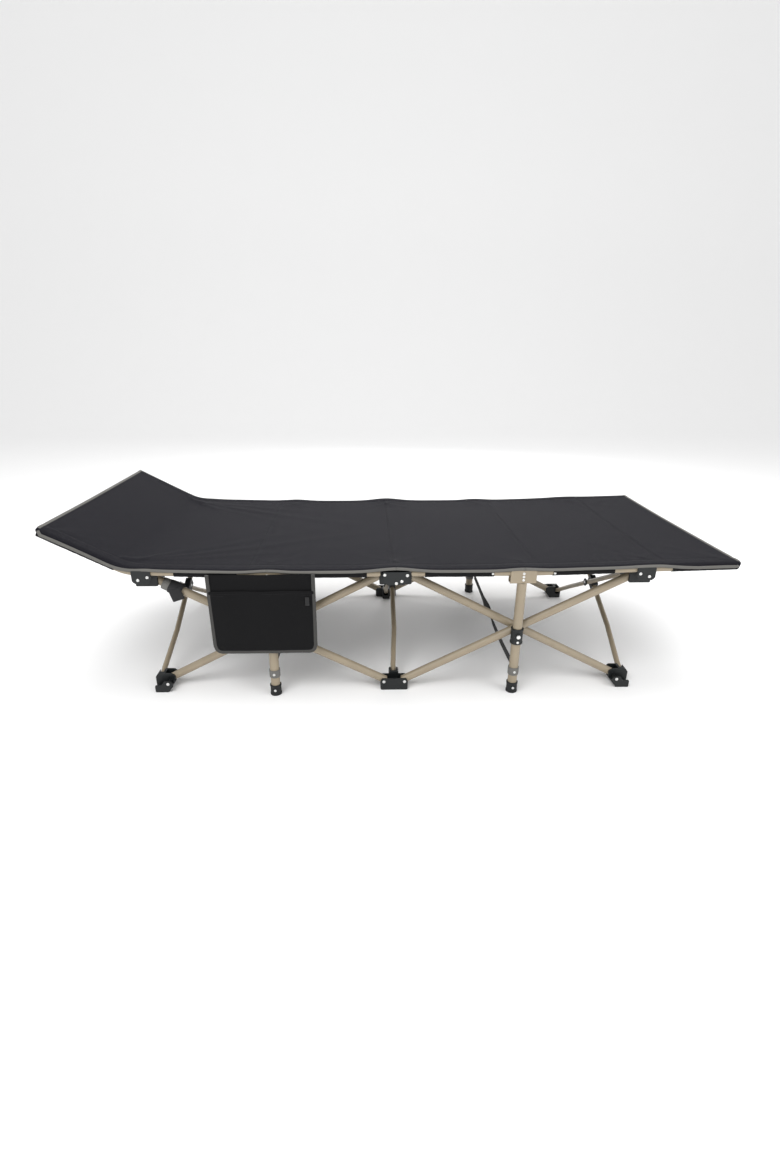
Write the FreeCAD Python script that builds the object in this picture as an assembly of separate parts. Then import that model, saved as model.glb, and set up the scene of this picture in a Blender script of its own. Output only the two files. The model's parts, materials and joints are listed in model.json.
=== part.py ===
import FreeCAD, Part
import math
import os

Vector = FreeCAD.Vector

# Folding cot, in millimetres. +X runs from the head end to the foot end, the front of the
# cot is -Y, the floor is Z = 0 and the origin lies on the floor under the middle of the cot.
# Parts of one bay are drawn at the foot end of the back frame and mirrored to the others.
# "Out" is the distance from a side frame's hub plane towards the outside of the cot.

# Driving dimensions of the frame
BAY_LENGTH = 706.0        # hub to hub along the cot
FRAME_WIDTH = 713.0       # hub plane to hub plane across the cot
LOW_PIVOT_Z = 28.0        # bar pivots in the lower hubs
HIGH_PIVOT_Z = 362.0      # bar pivots in the upper hubs
PIVOT_REACH = 31.0        # bar pivot to the middle of its hub
RAIL_Z = 382.0            # middle of the deck rails at the legs
HEAD_END_X = -949.0
FOOT_END_X = 951.0
HEAD_BEND_X = -734.0      # corner of the raised head panel
HEAD_SLOPE = 27.8         # degrees
END_TILT = 1.55           # degrees by which the end rails rise from the legs

# Tubes
BAR_R, LEG_R, RAIL_R, BRACE_R = 12.0, 13.5, 9.5, 8.0
WALL = 1.1
PIN_R, BRACE_PIN_R = 4.0, 3.0
RUNNING = 0.08            # radial clearance round a pivot pin
GAP = 0.3                 # clearance between faces that pass each other
FIT = 0.02                # clearance between faces that are fixed together

# Layers of a side frame, counted outwards from the hub plane
OUTER_BAR_OUT = -2.5
INNER_BAR_OUT = -28.0
LEG_OUT = 27.0
BRACE_OUT = (BAY_LENGTH - 2 * PIVOT_REACH - FRAME_WIDTH) / 2
HUB_INNER_OUT = -46.0
LOW_HUB_FACE_OUT = 16.5
BLOCK_FACE_OUT = 16.7
PLATE_THICKNESS = 3.8
SLOT_HALF = BAR_R + GAP   # half width of a bar's slot in a hub

# Deck and soft parts
DECK_HALF_WIDTH = 396.0
DECK_THICKNESS = 3.0
DECK_UNDER = 10.8         # underside of the deck above the middle of the rails
DECK_BEND_LIFT = 4.0      # extra height where the cloth bridges the head bend
POCKET_X = (-512.0, -226.0)
POCKET_Z = (154.0, 388.0)
POCKET_FRONT_Z = 344.0    # top edge of the pocket's front panel
POCKET_BACK_OUT = 51.5
POCKET_DEPTH = 11.0
POCKET_WALL = 1.5
STRAP_Z = 72.0
STRAP_WIDTH = 25.0
STRAP_THICKNESS = 1.5
STRAP_SIDESTEP = 13.0     # of the foot legs' strap, towards the foot

# Worked out from the above
HALF_WIDTH = FRAME_WIDTH / 2
PIVOT_RISE = HIGH_PIVOT_Z - LOW_PIVOT_Z
PIVOT_SPAN = BAY_LENGTH - 2 * PIVOT_REACH
BAR_LENGTH = math.hypot(PIVOT_SPAN, PIVOT_RISE)
BAR_ANGLE = math.degrees(math.atan2(PIVOT_RISE, PIVOT_SPAN))
LEG_X = BAY_LENGTH / 2
CROSS_Z = (LOW_PIVOT_Z + HIGH_PIVOT_Z) / 2
LEG_Y = HALF_WIDTH + LEG_OUT

X_AXIS, Y_AXIS, Z_AXIS = Vector(1, 0, 0), Vector(0, 1, 0), Vector(0, 0, 1)
ORIGIN = Vector(0, 0, 0)


def box(x_range, y_range, z_range):
    low = [min(r) for r in (x_range, y_range, z_range)]
    size = [abs(r[1] - r[0]) for r in (x_range, y_range, z_range)]
    return Part.makeBox(*size, Vector(*low))


def rod(start, end, radius):
    return Part.makeCylinder(radius, start.distanceToPoint(end), start, end - start)


def fused(solids):
    return solids[0].multiFuse(list(solids[1:])).removeSplitter() if len(solids) > 1 else solids[0]


def rounded_outline(points, radius):
    """A closed wire through (x, z) points at y = 0, its corners rounded."""
    corners = [Vector(x, 0, z) for x, z in points]
    ends = []
    for i, corner in enumerate(corners):
        back = (corners[i - 1] - corner).normalize()
        ahead = (corners[(i + 1) % len(corners)] - corner).normalize()
        half = back.getAngle(ahead) / 2
        setback = radius / math.tan(half)
        middle = corner + (back + ahead).normalize() * (radius / math.sin(half) - radius)
        ends.append((corner + back * setback, middle, corner + ahead * setback))
    edges = []
    for i, (_, _, leave) in enumerate(ends):
        enter, middle, exit_point = ends[(i + 1) % len(ends)]
        edges.append(Part.makeLine(leave, enter))
        edges.append(Part.Arc(enter, middle, exit_point).toShape())
    return Part.Wire(edges)


def moulded_block(points, y_range, corner=4.0, edge=1.5):
    """An (x, z) outline pushed along y, with every edge softened."""
    outline = rounded_outline(points, corner)
    block = Part.Face(outline).extrude(Vector(0, y_range[1] - y_range[0], 0))
    block.translate(Vector(0, y_range[0], 0))
    rims = [e for e in block.Edges if abs(e.BoundBox.YLength) < 1e-6]
    return block.makeFillet(edge, rims)


def pipe(points, radius):
    """A round bar through the points, with ball corners."""
    parts = [rod(a, b, radius) for a, b in zip(points, points[1:])]
    parts += [Part.makeSphere(radius, p) for p in points[1:-1]]
    return fused(parts)


def end_rounding(x, side, radius):
    """What is cut away to round a tube's end about a cross pin at x."""
    reach = 3 * radius
    block = box((x, x + side * reach), (-reach, reach), (-reach, reach))
    return block.cut(rod(Vector(x, -reach, 0), Vector(x, reach, 0), radius))


def link(points, radius, pin_x, pin_r, round_at):
    """A hollow tube along +X with cross holes along Y and ends rounded about the pivots."""
    tube = pipe(points, radius).cut(pipe(points, radius - WALL))
    for x, side in round_at:
        tube = tube.cut(end_rounding(x, side, radius))
    for x in pin_x:
        side = Vector(0, 3 * radius, 0)
        tube = tube.cut(rod(Vector(x, 0, 0) - side, Vector(x, 0, 0) + side, pin_r + RUNNING))
    return tube


def side_bar(start, slope, out):
    ends = [Vector(-BAR_R, 0, 0), Vector(BAR_LENGTH + BAR_R, 0, 0)]
    bar = link(ends, BAR_R, (0, BAR_LENGTH / 2, BAR_LENGTH), PIN_R, ((0, -1), (BAR_LENGTH, 1)))
    bar.rotate(ORIGIN, Y_AXIS, -slope)
    bar.translate(Vector(start[0], HALF_WIDTH + out, start[1]))
    return bar


def brace_tube(sideways):
    """A cross brace from a lower front hub to the upper back hub, kinked clear of its twin."""
    straight, kink = 32.0, 172.0
    stations = ((-BRACE_R, 0), (straight, 0), (kink, 1), (BAR_LENGTH - kink, 1),
                (BAR_LENGTH - straight, 0), (BAR_LENGTH + BRACE_R, 0))
    points = [Vector(x, -sideways * aside * (BRACE_R + GAP), 0) for x, aside in stations]
    tube = link(points, BRACE_R, (0, BAR_LENGTH / 2, BAR_LENGTH), BRACE_PIN_R,
                ((0, -1), (BAR_LENGTH, 1)))
    tube.rotate(ORIGIN, Z_AXIS, 90)
    tube.rotate(ORIGIN, X_AXIS, BAR_ANGLE)
    tube.translate(Vector(0, -(HALF_WIDTH + BRACE_OUT), LOW_PIVOT_Z))
    return tube


def brace_block():
    """The moulded joint at a brace crossing: it grips the first tube and pins the second."""
    length, height, plate = 44.0, 30.0, 2.5
    far = 2 * BRACE_R + GAP + plate
    body = box((GAP / 2, far), (-length / 2, length / 2), (-height / 2, height / 2))
    body = body.makeFillet(3.0, [e for e in body.Edges if e.BoundBox.XLength > 1])
    grip_x = BRACE_R + GAP
    along = Vector(0, length, 0)
    body = body.cut(rod(Vector(grip_x, 0, 0) - along, Vector(grip_x, 0, 0) + along, BRACE_R + FIT))
    disc = Part.makeCylinder(13.0, plate, Vector(-far, 0, 0), X_AXIS)
    pin = Part.makeCylinder(BRACE_PIN_R, 2 * far, Vector(-far, 0, 0), X_AXIS)
    block = fused([body, pin, disc])
    block.rotate(ORIGIN, X_AXIS, BAR_ANGLE)
    block.translate(Vector(0, 0, CROSS_Z))
    return block


def pin_through(block, start, end, radius):
    """The block with a pin's hole in it, and the pin that fills it."""
    pin = rod(start, end, radius)
    return block.cut(pin), pin


def with_pins(block, bar_pins, out_range, brace_half):
    """A hub's block with its bar pins (u positions) and its brace pin."""
    pins = []
    for u in bar_pins:
        ends = (Vector(u, out_range[0], 0), Vector(u, out_range[1], 0))
        block, pin = pin_through(block, *ends, PIN_R)
        pins.append(pin)
    ends = (Vector(-brace_half[0], BRACE_OUT, 0), Vector(brace_half[1], BRACE_OUT, 0))
    block, pin = pin_through(block, *ends, BRACE_PIN_R)
    return [block] + pins + [pin]


def brace_slot(low, high):
    half = BRACE_R + GAP
    return box((-half, half), (HUB_INNER_OUT - 1, BRACE_OUT + BRACE_R + 2), (low, high))


def lower_hub(end_hub):
    """A lower hub with its pivots at z = 0; u grows towards the bay."""
    floor = -LOW_PIVOT_Z
    slot_floor, brace_floor = floor + 13.5, floor + 17.0
    if end_hub:
        cheek = [(-9, floor), (30, floor), (44, floor + 18), (44, 1), (38, 8), (20, 8), (11, -5),
                 (-9, -5)]
        block = moulded_block(cheek, (LOW_HUB_FACE_OUT - 6, LOW_HUB_FACE_OUT))
        sole = [(-9, floor), (30, floor), (39, floor + 13), (-9, floor + 13)]
        block = block.fuse(moulded_block(sole, (HUB_INNER_OUT, LOW_HUB_FACE_OUT - 2), 3.0, 1.0))
        grip = [(-13, floor), (28, floor), (46, floor + 22), (46, 12), (36, 20), (-5, 20), (-13, 10)]
        grip_out = INNER_BAR_OUT + SLOT_HALF + 5
        block = fused([block, moulded_block(grip, (HUB_INNER_OUT, grip_out))])
        out = INNER_BAR_OUT
        slot_u, bar_pins, brace_half = (15.5, 60), (PIVOT_REACH,), (13.0, 15.5)
        out_range = (HUB_INNER_OUT, LOW_HUB_FACE_OUT)
    else:
        outline = [(-41, floor), (41, floor), (41, 0), (36, 9), (-36, 9), (-41, 0)]
        cheek = OUTER_BAR_OUT - SLOT_HALF - 5.2
        block = moulded_block(outline, (cheek, LOW_HUB_FACE_OUT), corner=5.0)
        ears = [(-14.5, floor), (14.5, floor), (14.5, 16), (-14.5, 16)]
        block = fused([block, moulded_block(ears, (HUB_INNER_OUT, cheek + 4))])
        out = OUTER_BAR_OUT
        slot_u, bar_pins, brace_half = (-60, 60), (-PIVOT_REACH, PIVOT_REACH), (14.5, 14.5)
        out_range = (cheek, LOW_HUB_FACE_OUT)
    block = block.cut(box(slot_u, (out - SLOT_HALF, out + SLOT_HALF), (slot_floor, 60)))
    block = block.cut(brace_slot(brace_floor, 60))
    solids = with_pins(block, bar_pins, out_range, brace_half)
    return Part.makeCompound([moved(s, (0, 0, LOW_PIVOT_Z)) for s in solids])


def upper_hub(end_hub):
    """An upper hub with its pivots at z = 0: a block for the bars and a plate over the rail."""
    rail_up = RAIL_Z - HIGH_PIVOT_Z
    if end_hub:
        rail_up += (BAY_LENGTH / 2 - TEE_PIVOT) * math.tan(math.radians(END_TILT))
    plate_y = (LEG_OUT + RAIL_R + 0.8, LEG_OUT + RAIL_R + 0.8 + PLATE_THICKNESS)
    plate_top, plate_low = rail_up + 8.0, rail_up - 30.0
    bridge_top = rail_up - RAIL_R - 1.2
    slot_roof = 12.7
    if end_hub:
        outline = [(-14, -18), (47, -18), (47, 10), (40, 17), (-6, 17), (-14, 9)]
        plate = [(-13, plate_low + 8), (-5, plate_low), (30, plate_low), (39, plate_low + 12),
                 (39, plate_top), (-13, plate_top)]
        out = OUTER_BAR_OUT
        slot_u, bar_pins, brace_half = (15.5, 60), (PIVOT_REACH,), (14.0, 15.5)
    else:
        outline = [(-45, -18), (45, -18), (45, 10), (38, 17), (-38, 17), (-45, 10)]
        plate = [(-36, plate_low + 14), (-24, plate_low), (24, plate_low), (36, plate_low + 14),
                 (36, plate_top), (-36, plate_top)]
        out = INNER_BAR_OUT
        slot_u, bar_pins, brace_half = None, (-PIVOT_REACH, PIVOT_REACH), (15.5, 15.5)
    block = moulded_block(outline, (HUB_INNER_OUT, BLOCK_FACE_OUT))
    bridge = box((-11, 12), (BLOCK_FACE_OUT - 2, plate_y[0] + 2), (plate_low + 3, bridge_top))
    block = fused([block, bridge, moulded_block(plate, plate_y, edge=1.0)])
    slots = [slot_u] if slot_u else [(-60, -15.5), (15.5, 60)]
    for span in slots:
        block = block.cut(box(span, (out - SLOT_HALF, out + SLOT_HALF), (-60, slot_roof)))
    block = block.cut(brace_slot(-60, BRACE_R + 2))
    solids = with_pins(block, bar_pins, (HUB_INNER_OUT, BLOCK_FACE_OUT), brace_half)
    return Part.makeCompound([moved(s, (0, 0, HIGH_PIVOT_Z)) for s in solids])


def moved(shape, offset):
    copy = shape.copy()
    copy.translate(Vector(*offset))
    return copy


TEE_HALF, TEE_HEIGHT, TEE_SHEET = 36.0, 38.0, 2.0
TEE_INSIDE = RAIL_R + 0.5
TEE_PIVOT = 22.5          # rail pivot from the leg's axis
TEE_LOW = RAIL_Z + RAIL_R - 0.5 - TEE_HEIGHT


def tee_head():
    """The folded sheet-steel channel on top of a leg, with the rails' pivot pins."""
    sides = (LEG_Y - TEE_INSIDE - TEE_SHEET, LEG_Y + TEE_INSIDE + TEE_SHEET)
    ends = (LEG_X - TEE_HALF, LEG_X + TEE_HALF)
    channel = box(ends, sides, (TEE_LOW, TEE_LOW + TEE_HEIGHT))
    channel = channel.makeFillet(2.0, [e for e in channel.Edges if e.BoundBox.XLength > 1
                                       and e.BoundBox.ZMax < RAIL_Z])
    channel = channel.makeFillet(4.0, [e for e in channel.Edges if e.BoundBox.YLength > 1
                                       and e.BoundBox.XLength < 0.1 and e.BoundBox.ZMin > RAIL_Z])
    channel = channel.cut(box((ends[0] - 1, ends[1] + 1), (LEG_Y - TEE_INSIDE, LEG_Y + TEE_INSIDE),
                              (TEE_LOW + TEE_SHEET, RAIL_Z + TEE_HEIGHT)))
    spacer = box((LEG_X - 8, LEG_X + 8), (LEG_Y - TEE_INSIDE, LEG_Y + TEE_INSIDE),
                 (TEE_LOW + TEE_SHEET, RAIL_Z + RAIL_R - 2))
    solids = [channel, spacer]
    for x in (LEG_X - TEE_PIVOT, LEG_X + TEE_PIVOT):
        pin = rod(Vector(x, sides[0], RAIL_Z), Vector(x, sides[1], RAIL_Z), BRACE_PIN_R)
        solids[0] = solids[0].cut(pin)
        solids.append(pin)
    return Part.makeCompound(solids)


def leg():
    top, bottom = TEE_LOW, 4.0
    outside = rod(Vector(LEG_X, LEG_Y, bottom), Vector(LEG_X, LEG_Y, top), LEG_R)
    return outside.cut(rod(Vector(LEG_X, LEG_Y, bottom), Vector(LEG_X, LEG_Y, top), LEG_R - WALL))


def turned(profile, x, y):
    """A solid of revolution about a leg's axis from (radius, z) points."""
    points = [Vector(x + r, y, z) for r, z in profile]
    face = Part.Face(Part.makePolygon(points + points[:1]))
    return face.revolve(Vector(x, y, 0), Z_AXIS, 360)


def rubber_foot():
    """The boot on a leg, with a lip round its top and a wider tread."""
    height, wall = 34.0, 2.4
    skin, lip = LEG_R + wall, LEG_R + wall + 1.0
    profile = [(0, 0), (lip - 1.5, 0), (lip, 1.5), (lip, 6), (skin, 10), (skin, height - 7),
               (lip, height - 5), (lip, height - 1), (lip - 1, height), (0, height)]
    foot = turned(profile, LEG_X, LEG_Y)
    return foot.cut(rod(Vector(LEG_X, LEG_Y, 4.0), Vector(LEG_X, LEG_Y, height + 1), LEG_R + FIT))


COLLAR_R, COLLAR_LIP_R = 17.0, 18.2
COLLAR_UP, COLLAR_DOWN = 16.0, 32.0
COLLAR_FACE_OUT = LEG_OUT + COLLAR_R
BUTTON_R, BUTTON_DROP = 6.0, 5.0
BUTTON_BOSS = 2.5         # how far the boss round the button stands out
BUTTON_PROUD = 3.0


def collar():
    """The moulded slider that guides a leg and carries the pin of the bars' crossing."""
    back = HALF_WIDTH + OUTER_BAR_OUT + SLOT_HALF
    low, high = CROSS_Z - COLLAR_DOWN, CROSS_Z + COLLAR_UP
    profile = [(0, low), (COLLAR_LIP_R - 1, low), (COLLAR_LIP_R, low + 1), (COLLAR_LIP_R, low + 6),
               (COLLAR_R, low + 8), (COLLAR_R, high - 7), (COLLAR_LIP_R, high - 5),
               (COLLAR_LIP_R, high - 1), (COLLAR_LIP_R - 1, high), (0, high)]
    sleeve = turned(profile, LEG_X, LEG_Y)
    sleeve = sleeve.cut(box((LEG_X - 30, LEG_X + 30), (back - 20, back), (low - 1, high + 1)))
    seat = [(LEG_X + u, CROSS_Z + z) for u, z in ((-14, -16), (14, -16), (14, 13), (-14, 13))]
    body = sleeve.fuse(moulded_block(seat, (back, LEG_Y), 6.0, 1.0))
    face = HALF_WIDTH + COLLAR_FACE_OUT
    seat_z = CROSS_Z - BUTTON_DROP
    boss = rod(Vector(LEG_X, face - 4, seat_z), Vector(LEG_X, face + BUTTON_BOSS, seat_z), BUTTON_R + 3)
    body = fused([body, boss])
    body = body.cut(rod(Vector(LEG_X, LEG_Y, low - 1), Vector(LEG_X, LEG_Y, high + 1), LEG_R + GAP))
    body = body.cut(rod(Vector(LEG_X, face - 1.5, seat_z), Vector(LEG_X, face + 9, seat_z),
                        BUTTON_R + GAP))
    head = 3.0
    tail = HALF_WIDTH + INNER_BAR_OUT - BAR_R - GAP
    pin = rod(Vector(LEG_X, tail - head, CROSS_Z), Vector(LEG_X, back + 2, CROSS_Z), PIN_R)
    cap = rod(Vector(LEG_X, tail - head, CROSS_Z), Vector(LEG_X, tail, CROSS_Z), 2 * PIN_R)
    return Part.makeCompound([body.cut(pin), fused([pin, cap])])


def button():
    face = HALF_WIDTH + COLLAR_FACE_OUT
    seat_z = CROSS_Z - BUTTON_DROP
    front = face + BUTTON_BOSS + BUTTON_PROUD
    press = rod(Vector(LEG_X, face + 1.2, seat_z), Vector(LEG_X, front, seat_z), BUTTON_R)
    return press.makeFillet(1.2, [e for e in press.Edges if e.BoundBox.YMin > front - 0.1])


MID_RAIL_GAP = 52.5       # inner rail's rounded end from the middle hub's centre


def inner_rail():
    length = LEG_X - TEE_PIVOT - MID_RAIL_GAP
    ends = [Vector(-RAIL_R, 0, 0), Vector(length + RAIL_R, 0, 0)]
    rail = link(ends, RAIL_R, (length,), BRACE_PIN_R, ((0, -1), (length, 1)))
    return moved(rail, (MID_RAIL_GAP, LEG_Y, RAIL_Z))


def end_rail(head):
    """From the leg's head to the end of the cot; the head one turns up through a bend."""
    start = LEG_X + TEE_PIVOT
    if head:
        corner, end_x = -HEAD_BEND_X - start, -HEAD_END_X - start
        bend_r, steps = 110.0, 6
        turn = math.radians(HEAD_SLOPE - END_TILT)
        setback = bend_r * math.tan(turn / 2)
        arc = [(corner - setback + bend_r * math.sin(turn * k / steps),
                bend_r * (1 - math.cos(turn * k / steps))) for k in range(steps + 1)]
        path = [(-RAIL_R, 0)] + arc + [(end_x, (end_x - corner) * math.tan(turn))]
    else:
        path = [(-RAIL_R, 0), (FOOT_END_X - start, 0)]
    points = [Vector(x, 0, z) for x, z in path]
    rail = link(points, RAIL_R, (0,), BRACE_PIN_R, ((0, -1),))
    rail.rotate(ORIGIN, Y_AXIS, -END_TILT)
    return moved(rail, (start, LEG_Y, RAIL_Z))


def deck():
    """The fabric deck as one sheet just above the rails, turned up at the head."""
    tilt, slope = (math.tan(math.radians(a)) for a in (END_TILT, HEAD_SLOPE))
    low = RAIL_Z + DECK_UNDER
    knee = LEG_X + TEE_PIVOT
    bend_z = low + (-HEAD_BEND_X - knee) * tilt
    head_x = HEAD_END_X - 4
    foot_x = FOOT_END_X + 5
    bend_z += DECK_BEND_LIFT
    under = [(head_x, bend_z + (HEAD_BEND_X - head_x) * slope), (HEAD_BEND_X, bend_z),
             (-knee, low), (knee, low), (foot_x, low + (foot_x - knee) * tilt)]
    over = [(x, z + DECK_THICKNESS) for x, z in reversed(under)]
    outline = Part.makePolygon([Vector(x, -DECK_HALF_WIDTH, z) for x, z in under + over + under[:1]])
    return Part.Face(outline).extrude(Vector(0, 2 * DECK_HALF_WIDTH, 0))


def pocket():
    """An open-topped pouch on the front edge of the deck: back, front, sides and bottom."""
    back = -(HALF_WIDTH + POCKET_BACK_OUT)
    front = back - POCKET_DEPTH
    pouch = box(POCKET_X, (back, front), POCKET_Z)
    inside_x = (POCKET_X[0] + POCKET_WALL, POCKET_X[1] - POCKET_WALL)
    pouch = pouch.cut(box(inside_x, (back - POCKET_WALL, front + POCKET_WALL),
                          (POCKET_Z[0] + POCKET_WALL, POCKET_Z[1] + 1)))
    return pouch.cut(box((POCKET_X[0] - 1, POCKET_X[1] + 1), (back - POCKET_WALL, front - 1),
                         (POCKET_FRONT_Z, POCKET_Z[1] + 1)))


def tie_strap(x, sidestep):
    """A webbing strap between a front and a back leg, with a sewn loop round each."""
    half = STRAP_WIDTH / 2
    z_range = (STRAP_Z - half, STRAP_Z + half)
    loop_r = LEG_R + 0.5
    reach = LEG_Y - loop_r / 2
    band_x = (x + sidestep - STRAP_THICKNESS / 2, x + sidestep + STRAP_THICKNESS / 2)
    band = box(band_x, (-reach, reach), z_range)
    loops = [rod(Vector(x, y, z_range[0]), Vector(x, y, z_range[1]), loop_r + STRAP_THICKNESS)
             for y in (-LEG_Y, LEG_Y)]
    strap = fused([band] + loops)
    for y in (-LEG_Y, LEG_Y):
        strap = strap.cut(rod(Vector(x, y, z_range[0] - 1), Vector(x, y, z_range[1] + 1), loop_r))
    return strap


def closing_strap():
    """The strap that holds the folded cot, rolled up beside the front head-end upper hub."""
    roll = box((-652, -610), (-(HALF_WIDTH + 12), -(HALF_WIDTH + 28)), (318, 358))
    return roll.makeFillet(5.0, [e for e in roll.Edges if e.BoundBox.YLength > 1])


def mirrored(shape, normal):
    return shape.mirror(ORIGIN, normal)


def save(name, shape):
    shape.exportStep(os.path.join("parts", name + ".step"))


os.makedirs("parts", exist_ok=True)

bay_parts = {
    "outer_bar": side_bar((PIVOT_REACH, LOW_PIVOT_Z), BAR_ANGLE, OUTER_BAR_OUT),
    "inner_bar": side_bar((PIVOT_REACH, HIGH_PIVOT_Z), -BAR_ANGLE, INNER_BAR_OUT),
    "leg": leg(),
    "leg_tee": tee_head(),
    "leg_foot": rubber_foot(),
    "leg_collar": collar(),
    "lock_button": button(),
    "inner_rail": inner_rail(),
    "lower_hub": mirrored(moved(lower_hub(True), (-BAY_LENGTH, HALF_WIDTH, 0)), X_AXIS),
    "upper_hub": mirrored(moved(upper_hub(True), (-BAY_LENGTH, HALF_WIDTH, 0)), X_AXIS),
}
end_rails = {"foot": end_rail(False), "head": end_rail(True)}
middle_hubs = {"lower": lower_hub(False), "upper": upper_hub(False)}

for side in ("back", "front"):
    for end in ("foot", "head"):
        for part_name, shape in list(bay_parts.items()) + [("end_rail", end_rails[end])]:
            placed = mirrored(shape, X_AXIS) if end == "head" else shape
            placed = mirrored(placed, Y_AXIS) if side == "front" else placed
            save("_".join((side, end, part_name)), placed)
    for level, shape in middle_hubs.items():
        placed = moved(shape, (0, HALF_WIDTH, 0))
        placed = mirrored(placed, Y_AXIS) if side == "front" else placed
        save("_".join((side, "middle", level, "hub")), placed)

for station, x in (("head", -BAY_LENGTH), ("middle", 0), ("foot", BAY_LENGTH)):
    save(station + "_rising_brace", moved(brace_tube(1), (x, 0, 0)))
    save(station + "_falling_brace", moved(mirrored(brace_tube(-1), Y_AXIS), (x, 0, 0)))
    save(station + "_brace_block", moved(brace_block(), (x, 0, 0)))

save("deck_fabric", deck())
save("side_pocket", pocket())
straps = [tie_strap(-LEG_X, 0), tie_strap(LEG_X, STRAP_SIDESTEP), closing_strap()]
save("webbing_straps", Part.makeCompound(straps))
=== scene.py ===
import json
import math

import bpy
import numpy as np
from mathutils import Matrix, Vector


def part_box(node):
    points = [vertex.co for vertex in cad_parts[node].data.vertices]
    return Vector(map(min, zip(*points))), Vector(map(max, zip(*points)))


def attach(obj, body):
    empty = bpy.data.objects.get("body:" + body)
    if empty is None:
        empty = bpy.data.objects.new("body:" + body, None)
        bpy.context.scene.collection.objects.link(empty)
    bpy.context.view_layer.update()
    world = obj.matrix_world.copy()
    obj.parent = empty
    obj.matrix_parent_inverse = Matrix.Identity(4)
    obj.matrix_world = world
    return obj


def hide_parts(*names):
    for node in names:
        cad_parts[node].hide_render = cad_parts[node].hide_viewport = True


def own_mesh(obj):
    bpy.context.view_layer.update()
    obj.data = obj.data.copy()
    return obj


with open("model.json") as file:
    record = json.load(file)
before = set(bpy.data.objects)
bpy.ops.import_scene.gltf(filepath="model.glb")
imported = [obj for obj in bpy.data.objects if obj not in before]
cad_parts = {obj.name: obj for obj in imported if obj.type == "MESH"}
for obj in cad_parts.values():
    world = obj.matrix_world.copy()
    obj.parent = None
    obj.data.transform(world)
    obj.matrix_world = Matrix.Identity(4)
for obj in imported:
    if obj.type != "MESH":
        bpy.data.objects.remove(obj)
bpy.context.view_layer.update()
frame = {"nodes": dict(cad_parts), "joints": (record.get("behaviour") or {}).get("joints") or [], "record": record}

SIDES = {"front": -1, "back": 1}
ENDS = {"head": -1, "foot": 1}

# ---------------------------------------------------------------- places read from the frame


def middle(node):
    low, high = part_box(node)
    return (low + high) / 2


JOINTS = {j["name"]: j for j in frame["joints"]}
LEG = middle("back_foot_leg")
LEG_X, LEG_Y = LEG.x, LEG.y
LEG_R = (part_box("back_foot_leg")[1].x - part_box("back_foot_leg")[0].x) / 2
RAIL = middle("back_foot_inner_rail")
BAR_R = (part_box("back_foot_outer_bar")[1].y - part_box("back_foot_outer_bar")[0].y) / 2
RAIL_Z = RAIL.z
RAIL_R = (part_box("back_foot_inner_rail")[1].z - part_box("back_foot_inner_rail")[0].z) / 2
HUB_X = Vector(JOINTS["foot_rising_brace_swing"]["pos_m"]).x
LOW_Z = Vector(JOINTS["fold"]["pos_m"]).z
HIGH_Z = Vector(JOINTS["back_foot_upper_hub_level"]["pos_m"]).z
REACH = Vector(JOINTS["fold"]["pos_m"]).x
CROSS_Z = (LOW_Z + HIGH_Z) / 2
DECK_LOW, DECK_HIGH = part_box("deck_fabric")
HEAD_SLOPE = math.radians(27.8)
END_TILT = math.radians(1.55)      # how much the end rails rise from the legs
HEAD_BEND = -0.734                 # where the raised head panel starts
KNEE = Vector(JOINTS["back_foot_end_rail_swing"]["pos_m"]).x   # where the end rails start

# ---------------------------------------------------------------- materials


class Nodes:
    """A short way to write a procedural material."""

    def __init__(self, name):
        self.material = bpy.data.materials.new(name)
        self.material.use_nodes = True
        self.tree = self.material.node_tree
        self.shader = self.tree.nodes["Principled BSDF"]
        self.coords = self.tree.nodes.new("ShaderNodeTexCoord")

    def add(self, kind, inputs=None, **settings):
        node = self.tree.nodes.new("ShaderNode" + kind)
        for key, value in settings.items():
            setattr(node, key, value)
        for key, value in (inputs or {}).items():
            self.put(node.inputs[key], value)
        return node

    def put(self, socket, value):
        if isinstance(value, bpy.types.NodeSocket):
            self.tree.links.new(value, socket)
        else:
            socket.default_value = value

    def scaled(self, vector, scale, rotation=(0, 0, 0)):
        node = self.add("Mapping", {"Vector": vector, "Scale": scale, "Rotation": rotation})
        return node.outputs[0]

    def noise(self, vector, scale, detail=3.0, roughness=0.55):
        node = self.add("TexNoise", {"Vector": vector, "Scale": scale, "Detail": detail,
                                     "Roughness": roughness})
        return node.outputs[0]

    def waves(self, vector, scale, direction):
        node = self.add("TexWave", {"Vector": vector, "Scale": scale, "Distortion": 0.4},
                        bands_direction=direction)
        return node.outputs["Fac"]

    def math(self, operation, first, second=0.0):
        node = self.add("Math", operation=operation)
        self.put(node.inputs[0], first)
        self.put(node.inputs[1], second)
        return node.outputs[0]

    def blend(self, factor, first, second):
        node = self.add("MixRGB", {"Fac": factor, "Color1": first, "Color2": second})
        return node.outputs[0]

    def spread(self, value, low, high):
        node = self.add("MapRange", {"Value": value, "From Min": 0.3, "From Max": 0.7,
                                     "To Min": low, "To Max": high})
        return node.outputs[0]

    def bump(self, height, strength, distance, under=None):
        node = self.add("Bump", {"Height": height, "Strength": strength, "Distance": distance})
        if under is not None:
            self.put(node.inputs["Normal"], under)
        return node.outputs[0]

    def finish(self, **sockets):
        for key, value in sockets.items():
            self.put(self.shader.inputs[key.replace("_", " ")], value)
        return self.material


def shade(color, factor):
    return (color[0] * factor, color[1] * factor, color[2] * factor, 1.0)


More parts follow.
